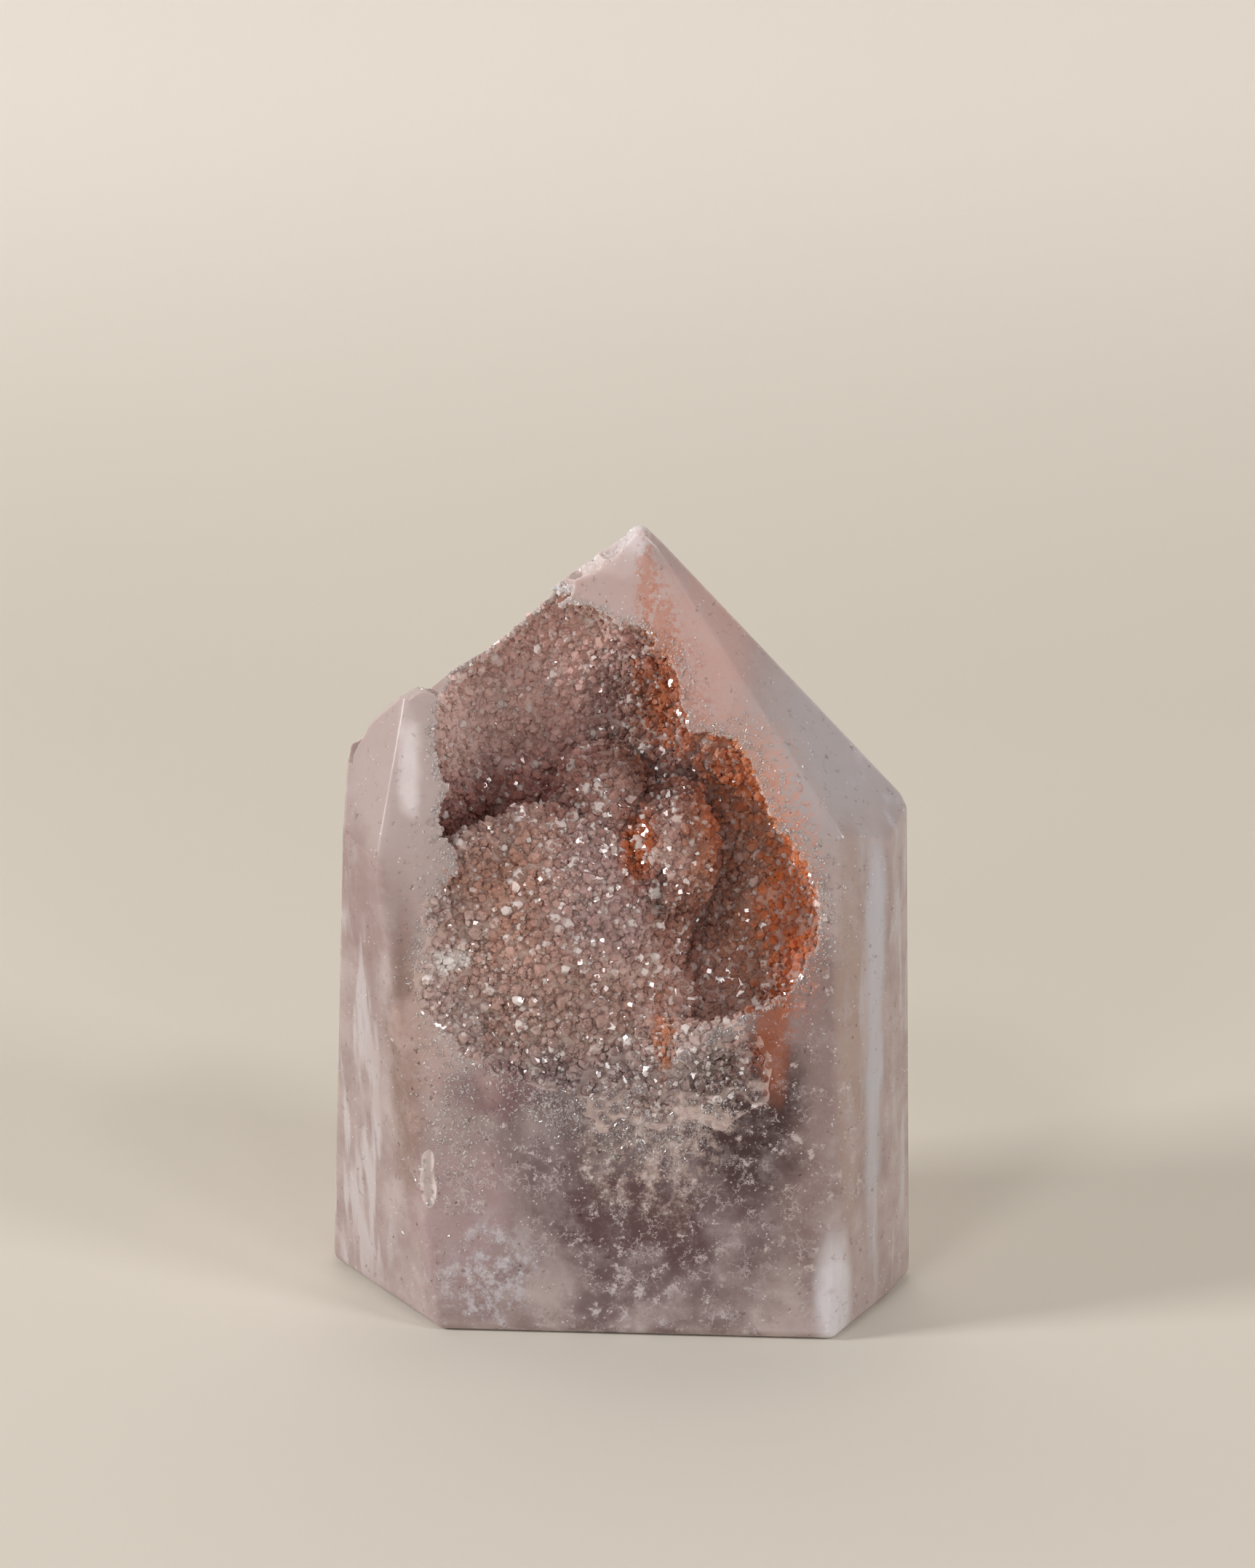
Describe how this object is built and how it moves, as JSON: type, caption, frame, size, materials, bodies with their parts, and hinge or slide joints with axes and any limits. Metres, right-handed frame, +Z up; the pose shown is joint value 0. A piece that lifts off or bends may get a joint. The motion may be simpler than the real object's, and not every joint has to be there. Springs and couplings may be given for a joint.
{
  "type": "pink amethyst tower with a druse-lined hollow",
  "caption": "Polished freeform tower of milky pink quartz, off-centre point, flat base, and a hollow on its front lined with small quartz crystals.",
  "frame": {"origin": "on the ground, in the middle of the stone's box seen from above", "axes": "+Z up to the point; the hollow opens towards -Y and the right side, seen from the front, is +X"},
  "size_m": [0.0522, 0.0316, 0.0703],
  "materials": {
    "polished_amethyst": "milky pink to lilac amethyst, translucent, ground flat and polished to a soft gloss",
    "quartz_druse": "fine quartz crystals, glassy faces, brownish pink with iron-oxide orange along one side"
  },
  "bodies": {
    "root": {"tower": "polished_amethyst", "druse_crust": "quartz_druse"}
  },
  "joints": []
}
